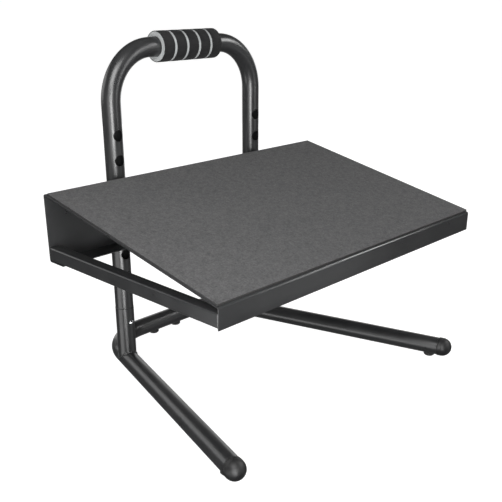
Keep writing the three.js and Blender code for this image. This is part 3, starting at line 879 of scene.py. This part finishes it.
def bead_tree():
    tree, given, made = shape_tree("weld_bead", [("Radius", "Float"), ("Ripples", "Float")])
    line = step_in(tree, "GeometryNodeMeshToCurve", Mesh=given["Geometry"])
    place = tree.nodes.new("GeometryNodeSplineParameter")
    wave = mathematics(tree, "MULTIPLY", place.outputs["Factor"], given["Ripples"])
    wave = mathematics(tree, "MULTIPLY", wave, 2 * math.pi)
    wave = mathematics(tree, "SINE", wave, 0)
    swell = mathematics(tree, "MULTIPLY_ADD", wave, RIPPLE_DEPTH)
    swell.node.inputs[2].default_value = 1.0
    circle = step_in(tree, "GeometryNodeCurvePrimitiveCircle", Resolution=12, Radius=given["Radius"])
    bead = step_in(tree, "GeometryNodeCurveToMesh", Curve=line.outputs[0],
                   Profile_Curve=circle.outputs[0], Scale=swell)
    end_tree(tree, bead.outputs[0], POWDER, made)
    return tree


BEAD = bead_tree()
for side, sign in SIDES.items():
    loop = []
    for step in range(BEAD_POINTS):
        angle = 2 * math.pi * step / BEAD_POINTS
        x = BASE_RADIUS * math.cos(angle)
        y = BASE_RADIUS * math.sin(angle)
        loop.append((post_x(sign) + x, POST_Y + y, cope_height(x, y, sign) + BEAD_LIFT))
    bead = points_object(side + "_weld", loop, joined=True, ring=True)
    run_tree(bead, BEAD, Radius=BEAD_RADIUS, Ripples=BEAD_RIPPLES)
    place_piece(bead, POWDER, "stand", "powder_coat")

# %% [markdown]
# ## Handle tube
# Two uprights and the handle are one tube with two bends. The front wall of each upright has
# seven holes for the lock pins. The tube tree makes the tube, and the drill tree the holes.

# %% Bend and drill the handle
def handle_line():
    left, right = post_x(-1), post_x(1)
    corners = [(left, JOINT_HIGH), (left, HANDLE_Z), (right, HANDLE_Z), (right, JOINT_HIGH)]
    flat = line_through(corners, HANDLE_BEND, 28, 3 * MM)
    return [(point.x, POST_Y, point.y) for point in flat]


hole_marks = []
for sign in SIDES.values():
    for index in range(HOLE_COUNT):
        height = PIN_Z + (index - (HOLE_COUNT - 1) / 2) * HOLE_PITCH
        hole_marks.append(front_of_post(sign, height))

handle = points_object("handle_tube_coat", handle_line(), joined=True)
run_tree(handle, TUBE, Radius=UPRIGHT_RADIUS, Wall=TUBE_WALL, Sides=64)
drill(handle, hole_marks, HOLE_DIAMETER, DRILL_DEPTH, POWDER)
place_piece(handle, POWDER, "stand", "powder_coat", "handle_tube")

# %% [markdown]
# ## Snap buttons and sleeves
# A sleeve inside the joint lines the two tubes up, and a sprung button clicks out through a
# hole to lock them. Pushing the button in frees the handle frame for transport.

# %% Sleeves
def ring_profile(inner, outer, low, high, edge):
    corners = [(inner, low), (outer, low), (outer, high), (inner, high)]
    return rounded([(*corner, edge) for corner in corners], closed=True, steps=3, support=edge)


SLEEVE_WALL = 1.2 * MM
for side, sign in SIDES.items():
    low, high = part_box(side + "_spigot")
    outer = (high.x - low.x) / 2
    profile = ring_profile(outer - SLEEVE_WALL, outer, low.z, high.z, 0.2 * MM)
    sleeve = turned_piece(side + "_sleeve", profile, 64, on_upright(sign))
    drill(sleeve, [front_of_post(sign, BUTTON_Z)], BUTTON_HOLE, DRILL_DEPTH, ZINC)
    place_piece(sleeve, ZINC, "stand", "zinc", side + "_spigot")

# %% Buttons
BUTTON_DOME = 3.2 * MM
ARM_FRONT = 7.6 * MM
ARM_THICKNESS = 0.6 * MM
ARM_WIDTH = 6 * MM


def button_profile():
    """A round button with a domed nose; the profile starts inside the leaf spring."""
    nose = POST_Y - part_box("right_snap_button")[0].y
    root = ARM_FRONT - 0.1 * MM
    points = [(0, root), (BUTTON_RADIUS, root)]
    steps = 14
    for step in range(steps + 1):
        angle = math.pi / 2 * step / steps
        points.append((BUTTON_RADIUS * math.cos(angle), nose - BUTTON_DOME * (1 - math.sin(angle))))
    points[-1] = (0, nose)
    return points


def add_box(shape, low, high):
    """A box between two corners, added to a bmesh."""
    size = Vector(high) - Vector(low)
    place = Matrix.Translation((Vector(low) + Vector(high)) / 2) @ Matrix.Diagonal((*size, 1))
    bmesh.ops.create_cube(shape, size=1, matrix=place)


for side, sign in SIDES.items():
    out = on_upright(sign, BUTTON_Z) @ Matrix.Rotation(math.radians(90), 4, "X")
    shape = bmesh.new()
    shape.from_mesh(turned("dome", button_profile(), 48, out))
    low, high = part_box(side + "_snap_button")
    front = POST_Y - ARM_FRONT
    left, right = post_x(sign) - ARM_WIDTH / 2, post_x(sign) + ARM_WIDTH / 2
    add_box(shape, (left, front, low.z), (right, front + ARM_THICKNESS, high.z))
    button = show(side + "_button_chrome", mesh_of(side + "_button", shape))
    soften(button, 0.15 * MM)
    place_piece(button, CHROME, side + "_button", "chrome", side + "_snap_button")

# %% [markdown]
# ## Foam grip
# A sleeve of foam wraps the middle of the handle. It is light grey foam with five black bands
# on it, and the grey shows as thin rings between them. Foam has soft edges, so each band is
# turned with rounded shoulders and the copies tree sets the five out.

# %% Turn the grip
GRIP_BANDS = 5
GROOVE = 0.5 * MM
grip_low, grip_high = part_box("grip_core")
band_low, band_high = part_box("grip_band_1")
GRIP_X = (grip_low.x + grip_high.x) / 2
GRIP_HALF = (grip_high.x - grip_low.x) / 2
BAND_HALF = (band_high.x - band_low.x) / 2
BAND_RADIUS = (band_high.z - band_low.z) / 2
BAND_STEP = middle("grip_band_2").x - middle("grip_band_1").x


def foam_core():
    inner = UPRIGHT_RADIUS + 0.1 * MM
    outer = BAND_RADIUS - GROOVE
    corners = [(inner, -GRIP_HALF, 0.4 * MM), (outer, -GRIP_HALF, 0.8 * MM)]
    corners += [(outer, GRIP_HALF, 0.8 * MM), (inner, GRIP_HALF, 0.4 * MM)]
    profile = rounded(corners, closed=True, steps=5, support=0.3 * MM)
    place = Matrix.Translation((GRIP_X, POST_Y, HANDLE_Z)) @ ALONG_X
    return turned_piece("grip_foam", profile, 96, place)


def foam_band():
    """One band; its middle stands a touch prouder than its shoulders."""
    inner = BAND_RADIUS - 1.2 * MM
    crown = 0.12 * MM
    shoulder, soft = BAND_RADIUS - crown, 0.55 * MM
    corners = [(inner, -BAND_HALF, 0), (shoulder, -BAND_HALF, soft), (BAND_RADIUS, 0, 60 * MM)]
    corners += [(shoulder, BAND_HALF, soft), (inner, BAND_HALF, 0)]
    profile = rounded(corners, closed=True, steps=6)
    return turned_piece("band_model", profile, 96, ALONG_X)


core = place_piece(foam_core(), FOAM_GREY, "stand", "foam_grey", "grip_core")
band_places = [GRIP_X + (index - (GRIP_BANDS - 1) / 2) * BAND_STEP for index in range(GRIP_BANDS)]
band_nodes = [f"grip_band_{index + 1}" for index in range(GRIP_BANDS)]
bands = set_out("grip_bands", foam_band(), [(x, POST_Y, HANDLE_Z) for x in band_places], FOAM_BLACK)
place_piece(bands, FOAM_BLACK, "stand", "foam_black", *band_nodes)

# %% [markdown]
# ## Deck plate
# The deck is one sheet of steel, folded four times: a front lip, the slope, a rear panel and a
# return along its foot. A folded sheet has the same thickness everywhere, so its section is a
# middle line with rounded bends, given its thickness to both sides.

# %% Fold the deck plate
SHEET = 1.5 * MM
BEND = 3 * MM
RETURN = 29 * MM
slope_normal = Vector((0, -math.sin(slope), math.cos(slope)))
slope_point = MAT_CENTRE - slope_normal * (MAT_THICKNESS / 2 + MAT_CLEARANCE)


def slope_height(y):
    return slope_point.z + (y - slope_point.y) * math.tan(slope)


def deck_section():
    half = SHEET / 2
    bend = BEND - half
    front, rear = DECK_LOW.y + half, DECK_HIGH.y - half
    drop = half / math.cos(slope)
    corners = [(front, DECK_LOW.z, 0), (front, slope_height(front) - drop, bend)]
    corners += [(rear, slope_height(rear) - drop, bend), (rear, DECK_LOW.z + half, bend)]
    corners += [(DECK_HIGH.y - RETURN, DECK_LOW.z + half, 0)]
    return sheet_outline(corners, SHEET, steps=10, support=0.4 * MM)


section = deck_section()
loops = [[(x, point.x, point.y) for point in section] for x in (DECK_LOW.x, DECK_HIGH.x)]
deck = lofted_piece("deck_sheet", loops, closed=False)
soften(deck, 0.3 * MM)
print("deck section:", len(section), "points")

# %% Drill the deck plate
BOLT_X = 27 * MM
BOLT_Z = 16 * MM
BOLT_HOLE = 5.6 * MM
bolt_marks = []
pin_marks = []
for sign in SIDES.values():
    pin_marks.append(front_of_post(sign, PIN_Z))
    for across in (-BOLT_X, BOLT_X):
        for up in (-BOLT_Z, BOLT_Z):
            bolt_marks.append(front_of_post(sign, PIN_Z + up, across))
drill(deck, pin_marks, HOLE_DIAMETER, DRILL_DEPTH, POWDER)
drill(deck, bolt_marks, BOLT_HOLE, DRILL_DEPTH, POWDER)
place_piece(deck, POWDER, "deck", "powder_coat", "deck_plate")

# %% [markdown]
# ## Anti-slip mat
# The mat is a thin sheet glued to the slope, a little smaller than the steel all round. Its
# top edge is soft. It is lofted from a rounded rectangle: bottom, side, shoulder and top.

# %% Cut the mat
MAT_CORNER = 1.2 * MM
MAT_EDGE = 0.5 * MM


def mat_sheet():
    half_x = mat_span.x / 2
    half_y = MAT_LENGTH / 2
    loops = []
    top = MAT_THICKNESS / 2
    glue_gap = 0.02 * MM
    levels = [(0, -top - MAT_CLEARANCE + glue_gap), (0, top - MAT_EDGE)]
    for angle in (0.5, 1.0, math.pi / 2):
        levels.append((MAT_EDGE * (1 - math.cos(angle)), top - MAT_EDGE * (1 - math.sin(angle))))
    levels.append((2 * MAT_EDGE, top))
    for inset, height in levels:
        x, y = half_x - inset, half_y - inset
        corners = [(*corner, MAT_CORNER) for corner in ((-x, -y), (x, -y), (x, y), (-x, y))]
        outline = rounded(corners, closed=True, steps=5)
        loops.append([(point.x, point.y, height) for point in outline])
    place = Matrix.Translation(MAT_CENTRE) @ Matrix.Rotation(slope, 4, "X")
    return lofted_piece("mat_sheet", loops, closed=False, place=place)


place_piece(mat_sheet(), MAT, "deck", "mat", "deck_mat")

# %% [markdown]
# ## Side rails
# A square tube is welded along each side, from the front lip to the rear panel. Square tube
# is rolled, so its corners are round inside and out.

# %% Roll the side rails
RAIL_WALL = 1.2 * MM
RAIL_CORNER = 2.2 * MM


def rail(name, low, high):
    def outline(inset):
        corner = RAIL_CORNER - inset
        corners = [(low.x + inset, low.z + inset), (high.x - inset, low.z + inset)]
        corners += [(high.x - inset, high.z - inset), (low.x + inset, high.z - inset)]
        return rounded([(*c, corner) for c in corners], closed=True, steps=7, support=0.3 * MM)

    rim = 0.2 * MM
    ends = [(0, rim), (rim, 0), (RAIL_WALL - rim, 0), (RAIL_WALL, rim)]
    stops = [(inset, low.y + back) for inset, back in ends]
    stops += [(inset, high.y - back) for inset, back in ends[::-1]]
    loops = [[(point.x, y, point.y) for point in outline(inset)] for inset, y in stops]
    return lofted_piece(name, loops, closed=True)


for side in SIDES:
    tube = rail(side + "_rail_tube", *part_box(side + "_side_rail"))
    place_piece(tube, POWDER, "deck", "powder_coat", side + "_side_rail")

# %% [markdown]
# ## Guides
# Behind the rear panel a nylon bush slides on each upright, and a steel strap holds it. The
# strap is bent from flat bar, with four bolts through its flanges.

# %% Bushes and straps
STRAP_WALL = 2 * MM
STRAP_BEND = 3 * MM
BUSH_CLEARANCE = 0.35 * MM
for side, sign in SIDES.items():
    low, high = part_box(side + "_post_bush")
    outer = (high.x - low.x) / 2
    profile = ring_profile(UPRIGHT_RADIUS + BUSH_CLEARANCE, outer, low.z, high.z, 0.8 * MM)
    bush = turned_piece(side + "_bush", profile, 72, on_upright(sign))
    drill(bush, [front_of_post(sign, PIN_Z)], HOLE_DIAMETER, DRILL_DEPTH, NYLON)
    place_piece(bush, NYLON, "deck", "nylon", side + "_post_bush")

    low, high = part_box(side + "_post_strap")
    flange = low.y + STRAP_WALL / 2
    crown = high.y - POST_Y - STRAP_WALL / 2
    left, right = post_x(sign) - crown, post_x(sign) + crown
    corners = [(low.x, flange, 0), (left, flange, STRAP_BEND), (left, POST_Y + crown, crown)]
    corners += [(right, POST_Y + crown, crown), (right, flange, STRAP_BEND), (high.x, flange, 0)]
    outline = sheet_outline(corners, STRAP_WALL, steps=14, support=0)
    loops = [[(point.x, point.y, z) for point in outline] for z in (low.z, high.z)]
    strap = soften(lofted_piece(side + "_strap", loops, closed=False), 0.35 * MM)
    marks = [(x, flange, z) for x, _, z in bolt_marks if low.x < x < high.x]
    drill(strap, marks, BOLT_HOLE, 10 * MM, POWDER)
    place_piece(strap, POWDER, "deck", "powder_coat", side + "_post_strap")

# %% [markdown]
# Each bolt has a low round head with a hexagon socket, and a nut in front of the panel. One
# bolt and one nut are made well, and the copies tree sets out eight of each.

# %% Bolts and nuts
def hexagon(across_corners, depth, place):
    profile = [(0, 0), (across_corners / 2, 0), (across_corners / 2, depth), (0, depth)]
    return turned_piece("hexagon", profile, 6, place)


def bolt_model(low, high):
    """A button-head bolt along Y, its head towards +Y, centred on the origin's axis."""
    shank, head = 2.5 * MM, 4.8 * MM
    seat = high - 2.8 * MM
    socket, socket_depth = 3.5 * MM, 1.7 * MM
    corners = [(0, low, 0), (shank, low, 0.5 * MM), (shank, seat, 0), (head, seat, 0.2 * MM)]
    corners += [(head - 0.1 * MM, seat + 0.9 * MM, 0.4 * MM), (3 * MM, high, 1.5 * MM), (0, high, 0)]
    bolt = turned_piece("bolt_model", rounded(corners, steps=5), 40, ALONG_Y)
    floor_of_socket = Matrix.Translation((0, high - socket_depth, 0)) @ ALONG_Y
    return cut_with(bolt, hexagon(socket, 3 * MM, floor_of_socket))


def nut_model(low, high, width):
    """A hexagon nut along Y: the prism's corners are turned off, and the bore cut through."""
    nut = hexagon(width, high - low, Matrix.Translation((0, low, 0)) @ ALONG_Y)
    slant = 0.5 * MM
    radius = width / 2
    past = radius + 0.1 * MM
    corners = [(0, low), (radius - slant, low), (past, low + slant)]
    corners += [(past, high - slant), (radius - slant, high), (0, high)]
    cut_with(nut, turned_piece("chamfer", corners, 48, ALONG_Y), "INTERSECT")
    thread, below, above = 2.55 * MM, low - 1 * MM, high + 1 * MM
    bore = [(0, below), (thread, below), (thread, above), (0, above)]
    return cut_with(nut, turned_piece("bore", bore, 32, ALONG_Y))


def numbered(part):
    return [f"{side}_{part}_{index + 1}" for side in SIDES for index in range(4)]


bolt_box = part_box("left_strap_bolt_1")
nut_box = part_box("left_strap_nut_1")
spots = [(x, 0, z) for x, _, z in bolt_marks]
bolts = set_out("strap_bolts", bolt_model(bolt_box[0].y, bolt_box[1].y), spots, ZINC)
place_piece(bolts, ZINC, "deck", "zinc", *numbered("strap_bolt"))
nut_width = max(nut_box[1].x - nut_box[0].x, nut_box[1].z - nut_box[0].z)
nuts = set_out("strap_nuts", nut_model(nut_box[0].y, nut_box[1].y, nut_width), spots, ZINC)
place_piece(nuts, ZINC, "deck", "zinc", *numbered("strap_nut"))

# %% [markdown]
# ## Spring lock pins
# A pin slides in a barrel under the deck. A coil spring pushes it back into a hole of the
# upright, and a plastic knob pulls it out. All but the spring are turned.

# %% Barrels, pins and knobs
def on_pin_axis(sign):
    return Matrix.Translation((post_x(sign), 0, PIN_Z)) @ ALONG_Y


def barrel_profile(low, high):
    outer = 12 * MM
    bore = HOLE_DIAMETER / 2
    stem = 4.4 * MM
    wall = 3 * MM
    corners = [(stem, low, 0.3 * MM), (outer, low, 1.0 * MM), (outer, high, 0.3 * MM)]
    corners += [(bore, high, 0.2 * MM), (bore, low + wall, 0), (stem, low + wall, 0)]
    return rounded(corners, closed=True, steps=4, support=0.2 * MM)


def pin_profile(low, high, shoulder):
    nose, stem = 6.8 * MM, 4 * MM
    corners = [(0, low, 0), (stem, low, 0.4 * MM), (stem, shoulder, 0.3 * MM), (nose, shoulder, 0.4 * MM)]
    corners += [(nose, high, 1.6 * MM), (0, high, 0)]
    return rounded(corners, steps=5, support=0.1 * MM)


def knob_profile(front, back):
    """A mushroom knob: a crowned face, a full rim and a waist for the fingers."""
    rim, waist, neck, collar, stem_hole = 15 * MM, 7.4 * MM, 7.2 * MM, 8 * MM, 4.3 * MM
    hole_end = front + 2.0 * MM
    corners = [(0, front, 0), (rim - 3 * MM, front + 0.4 * MM, 8 * MM), (rim, front + 6 * MM, 3.5 * MM)]
    corners += [(waist, front + 12 * MM, 3.5 * MM), (neck, back - 1.6 * MM, 0.6 * MM)]
    corners += [(collar, back - 0.8 * MM, 0.3 * MM), (collar, back, 0.3 * MM)]
    corners += [(stem_hole, back, 0.2 * MM), (stem_hole, hole_end, 0), (0, hole_end, 0)]
    return rounded(corners, steps=7)


SHOULDER_REACH = 27 * MM
SHOULDER_Y = POST_Y - SHOULDER_REACH
for side, sign in SIDES.items():
    axis = on_pin_axis(sign)
    low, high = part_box(side + "_plunger_barrel")
    barrel = turned_piece(side + "_barrel", barrel_profile(low.y, high.y), 64, axis)
    place_piece(barrel, ZINC, "deck", "zinc", side + "_plunger_barrel")
    low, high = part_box(side + "_lock_pin")
    pin = turned_piece(side + "_pin_chrome", pin_profile(low.y, high.y, SHOULDER_Y), 56, axis)
    place_piece(pin, CHROME, side + "_pin", "chrome", side + "_lock_pin")
    front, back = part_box(side + "_pull_knob")
    knob = turned_piece(side + "_knob", knob_profile(front.y, back.y), 72, axis)
    place_piece(knob, PLASTIC, side + "_pin", "plastic", side + "_pull_knob")

# %% [markdown]
# The coil spring sits round the pin's stem, out of sight in the barrel. It stays still while
# the pin moves, so it is wound at the length it has when the pin is pulled right back.

# %% Wind the springs
def spring_tree():
    sizes = [("Radius", "Float"), ("Turns", "Float"), ("Length", "Float"), ("Wire", "Float")]
    tree, given, made = shape_tree("coil_spring", sizes)
    helix = step_in(tree, "GeometryNodeCurveSpiral", Resolution=40, Rotations=given["Turns"],
                    Start_Radius=given["Radius"], End_Radius=given["Radius"], Height=given["Length"])
    half = mathematics(tree, "MULTIPLY", given["Wire"], 0.5)
    circle = step_in(tree, "GeometryNodeCurvePrimitiveCircle", Resolution=12, Radius=half)
    wire = step_in(tree, "GeometryNodeCurveToMesh", Curve=helix.outputs[0], Profile_Curve=circle.outputs[0])
    wire.inputs["Fill Caps"].default_value = True
    end_tree(tree, wire.outputs[0], ZINC, made)
    return tree


SPRING = spring_tree()
WIRE = 1.2 * MM
SPRING_TURNS = 4.0
pull_joint = next(joint for joint in frame["joints"] if joint["name"] == "left_pin_pull")
PULL = pull_joint["range_m"][1] - pull_joint["range_m"][0]
SPRING_ROOM = 0.4 * MM
for side, sign in SIDES.items():
    low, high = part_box(side + "_pin_spring")
    coil = points_object(side + "_spring", [(0, 0, 0)])
    radius = (high.z - low.z - WIRE) / 2
    squeezed = SHOULDER_Y - PULL - SPRING_ROOM - low.y
    run_tree(coil, SPRING, Radius=radius, Turns=SPRING_TURNS, Length=squeezed - WIRE, Wire=WIRE)
    coil.data.transform(on_pin_axis(sign) @ Matrix.Translation((0, 0, low.y + WIRE / 2)))
    place_piece(coil, ZINC, "deck", "zinc", side + "_pin_spring")

# %% [markdown]
# ## Parts kept from the frame
# The leaf springs behind the buttons are small, flat and inside the tubes, so their frame
# nodes stay as they are, with the zinc finish.

# %% Finish the leaf springs
for side in SIDES:
    node = frame["nodes"][side + "_button_spring"]
    node.data.materials.clear()
    node.data.materials.append(ZINC)
print("leaf springs finished")

# %% [markdown]
# ## Studio
# The floor is pale and plain, and it glows enough to stay white round the dark stand.
# Dark satin tubes show little but the lights they mirror, so each softbox stands where a tube
# or a face reflects it. The key lights the slope, and the low and left strips draw a line down
# each tube. The panels on the left and the backdrop behind soften the edges. The front lights
# shade the lip, the box on the right draws the line along its fold, and a weak sun fills in.

# %% Floor and world
def floor_sheet():
    mesh = bpy.data.meshes.new("floor")
    reach = 40
    corners = [(-reach, -reach, 0), (reach, -reach, 0), (reach, reach, 0), (-reach, reach, 0)]
    mesh.from_pydata(corners, [], [(0, 1, 2, 3)])
    return show("floor", mesh)


FLOOR_GLOW = 0.96
floor = floor_sheet()
floor_paint, _, floor_shader, _ = new_finish("floor_paint", Roughness=0.9, Specular_IOR_Level=0.1)
floor_shader.inputs["Base Color"].default_value = (0.35, 0.35, 0.35, 1)
floor_shader.inputs["Emission Color"].default_value = (1, 1, 1, 1)
floor_shader.inputs["Emission Strength"].default_value = FLOOR_GLOW
floor.data.materials.append(floor_paint)
floor.visible_glossy = False

world = bpy.data.worlds.new("studio")
bpy.context.scene.world = world
world.use_nodes = True
sky = world.node_tree.nodes["Background"]
rays = world.node_tree.nodes.new("ShaderNodeLightPath")
AMBIENT = 0.09
glow = world.node_tree.nodes.new("ShaderNodeMapRange")
glow.inputs["To Min"].default_value = AMBIENT
glow.inputs["To Max"].default_value = 1.0
world.node_tree.links.new(rays.outputs["Is Camera Ray"], glow.inputs["Value"])
world.node_tree.links.new(glow.outputs["Result"], sky.inputs["Strength"])
sky.inputs["Color"].default_value = (1, 1, 1, 1)
print("floor and world ready")

# %% Lights
def towards(azimuth, elevation):
    """The direction from the object to a light; azimuth 0 is in front of the low edge."""
    a, e = math.radians(azimuth), math.radians(elevation)
    return Vector((math.sin(a) * math.cos(e), -math.cos(a) * math.cos(e), math.sin(e)))


def sun(name, azimuth, elevation, spread, strength):
    data = bpy.data.lights.new(name, "SUN")
    data.energy = strength
    data.angle = math.radians(spread)
    lamp = bpy.data.objects.new(name, data)
    lamp.rotation_euler = towards(azimuth, elevation).to_track_quat("Z", "Y").to_euler()
    bpy.context.scene.collection.objects.link(lamp)


def softbox(name, at, aim, width, height, power):
    data = bpy.data.lights.new(name, "AREA")
    data.shape = "RECTANGLE"
    data.size = width
    data.size_y = height
    data.energy = power
    lamp = bpy.data.objects.new(name, data)
    lamp.location = at
    lamp.rotation_euler = (Vector(at) - Vector(aim)).to_track_quat("Z", "Y").to_euler()
    lamp.visible_camera = False
    bpy.context.scene.collection.objects.link(lamp)


TARGET_HEIGHT = 0.25
target = Vector((STAND_X, 0, TARGET_HEIGHT))


def studio_box(name, azimuth, elevation, distance, drop, size, power):
    """A softbox at a distance from the middle of the object, lowered, and aimed at it."""
    at = target + towards(azimuth, elevation) * distance - Vector((0, 0, drop))
    softbox(name, at, target, *size, power)


sun("top", 0, 88, 70, 0.15)
studio_box("key", -58, 40, 0.95, 0, (0.6, 0.6), 7.5)
studio_box("low_strip", -44, 0, 1.0, 0.1, (0.42, 0.85), 13)
studio_box("left_strip", -72, 0, 1.1, 0.1, (0.5, 0.7), 2)
studio_box("left_panel", -98, 0, 1.4, 0.67, (1.1, 0.6), 5)
studio_box("rear_left", -152, 16, 1.6, 0, (1.2, 0.8), 4.5)
studio_box("front_strip", 28, 0, 1.2, -0.32, (0.28, 0.75), 3)
studio_box("front_fill", 36, 0, 1.6, 0.75, (1.0, 0.6), 0.8)
studio_box("right_box", 58, 30, 1.5, 0, (0.5, 0.5), 8)
studio_box("backdrop", 134, 0, 2.2, 0.05, (3.0, 1.4), 15)

# %% [markdown]
# ## Camera
# The camera stands in front and to the left, a little above the handle, and looks down.

# %% Camera
CAMERA_AZIMUTH = -46.04
CAMERA_PITCH = 22.08
CAMERA_LEFT = 0.73261
CAMERA_FORWARD = 0.83159
CAMERA_HEIGHT = 0.51696
camera_data = bpy.data.cameras.new("camera")
camera_data.sensor_width = 36
camera_data.lens = 54.97
camera_data.shift_x = 0.0011
camera_data.shift_y = 0.0976
camera_data.clip_start = 0.05
camera_data.clip_end = 200
camera = bpy.data.objects.new("camera", camera_data)
camera.location = (STAND_X - CAMERA_LEFT, POST_Y - CAMERA_FORWARD, CAMERA_HEIGHT)
camera.rotation_euler = (math.radians(90 - CAMERA_PITCH), 0, math.radians(CAMERA_AZIMUTH))
bpy.context.scene.collection.objects.link(camera)
bpy.context.scene.camera = camera
bpy.context.scene.view_settings.view_transform = "Standard"
print("camera at", tuple(round(c, 3) for c in camera.location))
